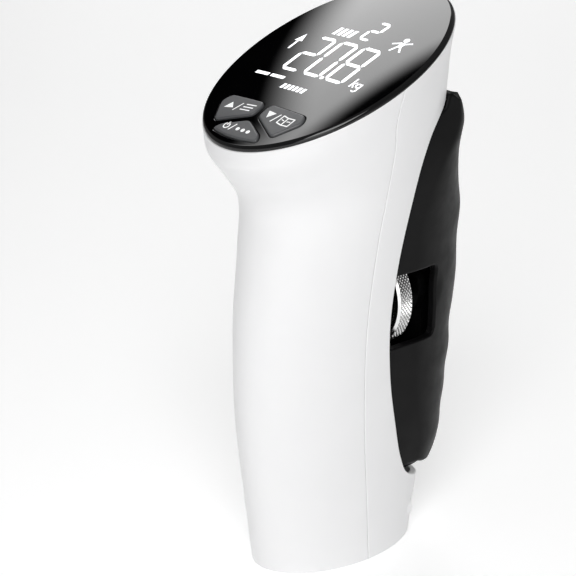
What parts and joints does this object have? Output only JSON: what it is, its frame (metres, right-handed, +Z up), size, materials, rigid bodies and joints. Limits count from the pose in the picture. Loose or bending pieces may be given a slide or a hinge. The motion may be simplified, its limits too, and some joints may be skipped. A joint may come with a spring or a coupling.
{
  "type": "hand dynamometer",
  "caption": "Upright digital hand dynamometer: white waisted casing, tilted oval black display with keys, black finger-grooved squeeze handle and a knurled width wheel.",
  "frame": {"origin": "centre of the base's flat face", "axes": "+Z up, +Y from the palm side to the finger handle, +X to the reader's right"},
  "size_m": [0.06, 0.0819, 0.1542],
  "materials": {
    "white_casing": "smooth white moulding, satin gloss",
    "black_lens": "polished black window",
    "black_grip": "fine satin black moulding",
    "grey_button": "satin dark grey",
    "inner_plastic": "plain moulded",
    "led_module": "moulded light guide",
    "circuit_board": "solder mask",
    "keypad_rubber": "moulded silicone",
    "knurled_steel": "bright plated, diamond knurl",
    "bright_steel": "turned",
    "dark_steel": "black coated",
    "aluminium": "machined",
    "black_anodised": "black anodised",
    "brass": "turned",
    "battery_foil": "wrapped pouch"
  },
  "bodies": {
    "casing": {"front_shell": "white_casing", "rear_shell": "white_casing", "display_lens": "black_lens", "display_module": "led_module", "display_carrier": "inner_plastic", "carrier_screws": "bright_steel", "main_board": "circuit_board", "board_screws": "bright_steel", "tact_switches": "inner_plastic", "keypad_mat": "keypad_rubber", "chassis": "black_anodised", "load_cell": "aluminium", "strain_gauges": "brass", "bearing_block": "black_anodised", "spindle_bush": "brass", "thrust_washer": "bright_steel", "guide_bushes": "brass", "load_cell_screws": "bright_steel", "bearing_block_screws": "bright_steel", "chassis_screws": "bright_steel", "charge_board": "circuit_board", "charge_board_screws": "bright_steel", "usb_socket": "bright_steel", "battery": "battery_foil", "shell_screws": "bright_steel"},
    "grip": {"grip_cover": "black_grip", "grip_frame": "dark_steel", "guide_rods": "bright_steel", "spindle_nut": "dark_steel", "grip_screws": "bright_steel"},
    "wheel": {"adjusting_wheel": "knurled_steel", "spindle": "dark_steel", "grub_screw": "dark_steel", "retaining_clip": "dark_steel"},
    "button_up": {"button_up": "grey_button"},
    "button_down": {"button_down": "grey_button"},
    "button_power": {"button_power": "grey_button"}
  },
  "joints": [
    {"name": "grip_slide", "type": "slide", "parent": "casing", "child": "grip", "axis": [0, 1, 0], "range_m": [0, 0.008]},
    {"name": "wheel_spin", "type": "hinge", "parent": "casing", "child": "wheel", "pos_m": [0, 0.0137, 0.0715], "axis": [0, 1, 0], "range_deg": [-721, 1]},
    {"name": "button_up_press", "type": "slide", "parent": "casing", "child": "button_up", "axis": [0, 0.4163, -0.9092], "range_m": [0, 0.0005], "stiffness_N_per_m": 800, "springref_m": -0.0008},
    {"name": "button_down_press", "type": "slide", "parent": "casing", "child": "button_down", "axis": [0, 0.4163, -0.9092], "range_m": [0, 0.0005], "stiffness_N_per_m": 800, "springref_m": -0.0008},
    {"name": "button_power_press", "type": "slide", "parent": "casing", "child": "button_power", "axis": [0, 0.4163, -0.9092], "range_m": [0, 0.0005], "stiffness_N_per_m": 800, "springref_m": -0.0008}
  ],
  "couplings": [
    {"joint": "wheel_spin", "follows": "grip_slide", "rad_per_m": -1570.8}
  ]
}
